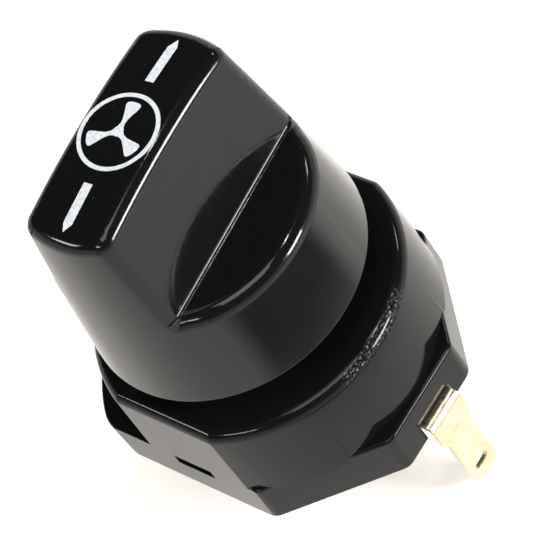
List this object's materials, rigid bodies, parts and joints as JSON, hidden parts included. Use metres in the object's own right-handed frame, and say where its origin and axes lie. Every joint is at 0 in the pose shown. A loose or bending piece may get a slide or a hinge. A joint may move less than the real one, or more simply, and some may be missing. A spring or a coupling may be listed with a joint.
{
  "type": "rotary fan switch",
  "caption": "Panel-mount rotary selector switch with a bar-grip push-on knob, flatted round housing, threaded neck and bent blade terminals.",
  "frame": {"origin": "on the knob's axis, in the plane of the housing's top face that seats against the back of the panel", "axes": "+Z out of the panel through the knob, +X towards the single terminal, +Y along the knob's grip (the knob itself is turned 4.2 degrees from square)"},
  "size_m": [0.0528, 0.0414, 0.0705],
  "materials": {
    "gloss_black": "glossy black moulded plastic with light handling scuffs",
    "black_nylon": "satin black glass-filled nylon",
    "natural_nylon": "natural off-white nylon",
    "grey_acetal": "mid grey acetal",
    "fibre": "red-brown vulcanised fibre",
    "nitrile_rubber": "black nitrile rubber",
    "zinc_steel": "bright zinc-plated steel",
    "spring_steel": "drawn spring steel",
    "ball_steel": "polished hardened steel",
    "nickel_brass": "nickel-plated brass",
    "tinned_brass": "pale tin-plated brass with bare brass at the cut edges",
    "copper": "bare copper alloy strip",
    "contact_silver": "silver-faced contact rivet"
  },
  "bodies": {
    "housing": {"housing_shell": "gloss_black", "rear_cover": "black_nylon", "threaded_bushing": "nickel_brass", "spindle_o_ring": "nitrile_rubber", "lock_washer": "zinc_steel", "panel_nut": "nickel_brass", "index_ring": "grey_acetal", "thrust_washer": "fibre", "terminal_line": "tinned_brass", "terminal_low": "tinned_brass", "terminal_high": "tinned_brass", "contact_rivet_line": "contact_silver", "contact_rivet_low": "contact_silver", "contact_rivet_high": "contact_silver"},
    "turning": {"knob": "gloss_black", "knob_spring_clip": "spring_steel", "spindle": "zinc_steel", "spindle_circlip": "spring_steel", "rotor": "natural_nylon", "contact_bridge": "copper", "contact_spring": "spring_steel", "detent_spring_1": "spring_steel", "detent_spring_2": "spring_steel"},
    "ball_1": {"detent_ball_1": "ball_steel"},
    "ball_2": {"detent_ball_2": "ball_steel"}
  },
  "joints": [
    {"name": "knob_turn", "type": "hinge", "parent": "housing", "child": "turning", "pos_m": [0, 0, 0], "axis": [0, 0, 1], "range_deg": [-45, 45]},
    {"name": "ball_1_slide", "type": "slide", "parent": "turning", "child": "ball_1", "axis": [0, 1, 0], "range_m": [0, 0.0008], "stiffness_N_per_m": 1500, "springref_m": 0.0012, "deforming": ["detent_spring_1"]},
    {"name": "ball_2_slide", "type": "slide", "parent": "turning", "child": "ball_2", "axis": [0, -1, 0], "range_m": [0, 0.0008], "stiffness_N_per_m": 1500, "springref_m": 0.0012, "deforming": ["detent_spring_2"]}
  ]
}
